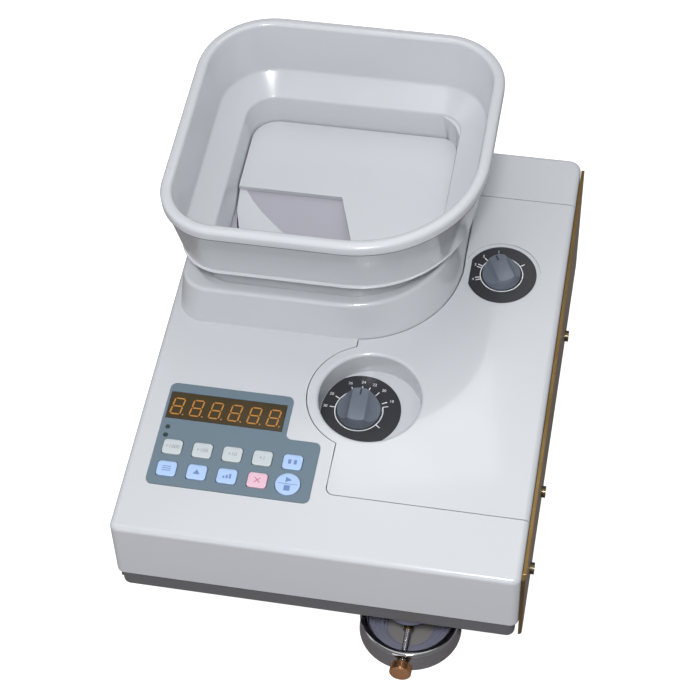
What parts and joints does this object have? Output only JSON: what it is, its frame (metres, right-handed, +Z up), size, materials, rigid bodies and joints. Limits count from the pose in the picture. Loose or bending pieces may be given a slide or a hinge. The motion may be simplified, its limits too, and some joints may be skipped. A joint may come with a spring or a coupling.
{
  "type": "coin counter",
  "caption": "Tabletop coin counter and off-sorter: tilted hopper bowl on a sloped body, access lid with size dial well, thickness dial, key panel and an outlet ring under the front.",
  "frame": {"origin": "on the floor under the middle of the whole machine", "axes": "+Z up, +Y to the back of the machine, +X to the operator's right"},
  "size_m": [0.2467, 0.342, 0.2231],
  "materials": {
    "cover_plastic": "gloss",
    "dark_pan": "satin",
    "yellow_steel": "satin",
    "steel": "satin",
    "rubber": "matte",
    "black_plastic": "matte",
    "aluminium": "satin",
    "motor_steel": "satin",
    "throat_plastic": "satin",
    "tube_plastic": "satin",
    "chrome": "polished",
    "brass": "polished",
    "board": "matte",
    "overlay": "satin",
    "window": "gloss",
    "lamp": "gloss",
    "dial": "satin",
    "knob": "satin",
    "white_key": "satin",
    "blue_key": "satin",
    "pink_key": "satin"
  },
  "bodies": {
    "chassis": {"base_pan": "dark_pan", "belt_bracket": "steel", "case_screws": "steel", "coin_deck": "aluminium", "coin_sensor": "black_plastic", "control_board": "board", "deck_posts": "steel", "disc_rim": "aluminium", "display_window": "window", "drive_belt": "rubber", "drive_motor": "motor_steel", "feed_motor": "motor_steel", "feed_throat": "throat_plastic", "fixed_rail": "steel", "fuse_cap": "black_plastic", "hopper": "cover_plastic", "hopper_floor": "cover_plastic", "lid_hinge_pin": "steel", "main_board": "board", "main_cover": "cover_plastic", "mode_lamps": "lamp", "motor_bridge": "steel", "outlet_dish": "tube_plastic", "outlet_ring": "chrome", "outlet_tube": "tube_plastic", "panel_overlay": "overlay", "power_inlet": "black_plastic", "rear_plate": "steel", "rubber_feet": "rubber", "side_plate_left": "yellow_steel", "side_plate_right": "yellow_steel", "stop_solenoid": "black_plastic", "transformer": "black_plastic", "transport_belt": "rubber"},
    "lid": {"lid": "cover_plastic", "size_dial": "dial", "gate_dial": "dial"},
    "size_knob": {"size_knob": "knob"},
    "size_guide": {"adjustable_guide": "steel"},
    "gate_knob": {"gate_knob": "knob"},
    "gate": {"thickness_gate": "steel"},
    "disc": {"feed_disc": "aluminium", "disc_shaft": "steel", "disc_pulley": "aluminium"},
    "motor_rotor": {"motor_pulley": "aluminium"},
    "idler_roller": {"belt_idler_roller": "aluminium"},
    "drive_roller": {"belt_drive_roller": "aluminium"},
    "stop": {"stop_plunger": "steel"},
    "rocker": {"power_switch": "black_plastic"},
    "clamp": {"clamp_screw": "brass"},
    "key_batch": {"key_batch": "blue_key"},
    "key_clear": {"key_clear": "pink_key"},
    "key_count_mode": {"key_count_mode": "blue_key"},
    "key_hundreds": {"key_hundreds": "white_key"},
    "key_memory": {"key_memory": "blue_key"},
    "key_ones": {"key_ones": "white_key"},
    "key_start": {"key_start": "blue_key"},
    "key_tens": {"key_tens": "white_key"},
    "key_thousands": {"key_thousands": "white_key"},
    "key_total": {"key_total": "blue_key"}
  },
  "joints": [
    {"name": "lid_hinge", "type": "hinge", "parent": "chassis", "child": "lid", "pos_m": [0.1165, 0.00687, 0.10658], "axis": [0, 0.9936, 0.1132], "range_deg": [0, 70]},
    {"name": "size_turn", "type": "hinge", "parent": "chassis", "child": "size_knob", "pos_m": [0.007, -0.03859, 0.09486], "axis": [0, -0.1132, 0.9936], "range_deg": [-110, 110]},
    {"name": "guide_slide", "type": "slide", "parent": "chassis", "child": "size_guide", "axis": [1, 0, 0], "range_m": [-0.008, 0.008]},
    {"name": "gate_turn", "type": "hinge", "parent": "chassis", "child": "gate_knob", "pos_m": [0.0803, 0.06281, 0.11647], "axis": [0, -0.1132, 0.9936], "range_deg": [-80, 80]},
    {"name": "gate_lift", "type": "slide", "parent": "chassis", "child": "gate", "axis": [0, -0.1132, 0.9936], "range_m": [-0.00145, 0.00145]},
    {"name": "disc_spin", "type": "hinge", "parent": "chassis", "child": "disc", "pos_m": [-0.022, 0.07506, 0.08667], "axis": [0, -0.1132, 0.9936], "continuous": true},
    {"name": "motor_spin", "type": "hinge", "parent": "chassis", "child": "motor_rotor", "pos_m": [0.065, 0.12091, 0.08183], "axis": [0, -0.1132, 0.9936], "continuous": true},
    {"name": "belt_drive_spin", "type": "hinge", "parent": "chassis", "child": "drive_roller", "pos_m": [0.055, 0.01352, 0.09677], "axis": [1, 0, 0], "continuous": true},
    {"name": "belt_idler_spin", "type": "hinge", "parent": "chassis", "child": "idler_roller", "pos_m": [0.055, -0.09577, 0.08432], "axis": [1, 0, 0], "continuous": true},
    {"name": "stop_slide", "type": "slide", "parent": "chassis", "child": "stop", "axis": [-1, 0, 0], "range_m": [0, 0.006], "stiffness_N_per_m": 40},
    {"name": "switch_rock", "type": "hinge", "parent": "chassis", "child": "rocker", "pos_m": [-0.051, 0.161, 0.074], "axis": [1, 0, 0], "range_deg": [-8, 8]},
    {"name": "clamp_turn", "type": "hinge", "parent": "chassis", "child": "clamp", "pos_m": [0.054, -0.147, 0.0105], "axis": [0, 1, 0], "continuous": true},
    {"name": "key_batch_press", "type": "slide", "parent": "chassis", "child": "key_batch", "axis": [0, 0.1132, -0.9936], "range_m": [0, 0.0007], "stiffness_N_per_m": 600},
    {"name": "key_clear_press", "type": "slide", "parent": "chassis", "child": "key_clear", "axis": [0, 0.1132, -0.9936], "range_m": [0, 0.0007], "stiffness_N_per_m": 600},
    {"name": "key_count_mode_press", "type": "slide", "parent": "chassis", "child": "key_count_mode", "axis": [0, 0.1132, -0.9936], "range_m": [0, 0.0007], "stiffness_N_per_m": 600},
    {"name": "key_hundreds_press", "type": "slide", "parent": "chassis", "child": "key_hundreds", "axis": [0, 0.1132, -0.9936], "range_m": [0, 0.0007], "stiffness_N_per_m": 600},
    {"name": "key_memory_press", "type": "slide", "parent": "chassis", "child": "key_memory", "axis": [0, 0.1132, -0.9936], "range_m": [0, 0.0007], "stiffness_N_per_m": 600},
    {"name": "key_ones_press", "type": "slide", "parent": "chassis", "child": "key_ones", "axis": [0, 0.1132, -0.9936], "range_m": [0, 0.0007], "stiffness_N_per_m": 600},
    {"name": "key_start_press", "type": "slide", "parent": "chassis", "child": "key_start", "axis": [0, 0.1132, -0.9936], "range_m": [0, 0.0007], "stiffness_N_per_m": 600},
    {"name": "key_tens_press", "type": "slide", "parent": "chassis", "child": "key_tens", "axis": [0, 0.1132, -0.9936], "range_m": [0, 0.0007], "stiffness_N_per_m": 600},
    {"name": "key_thousands_press", "type": "slide", "parent": "chassis", "child": "key_thousands", "axis": [0, 0.1132, -0.9936], "range_m": [0, 0.0007], "stiffness_N_per_m": 600},
    {"name": "key_total_press", "type": "slide", "parent": "chassis", "child": "key_total", "axis": [0, 0.1132, -0.9936], "range_m": [0, 0.0007], "stiffness_N_per_m": 600}
  ],
  "couplings": [
    {"joint": "size_turn", "follows": "guide_slide", "rad_per_m": -238},
    {"joint": "gate_turn", "follows": "gate_lift", "rad_per_m": 961.5},
    {"joint": "motor_spin", "follows": "disc_spin", "ratio": 4},
    {"joint": "belt_idler_spin", "follows": "belt_drive_spin", "ratio": 1}
  ]
}
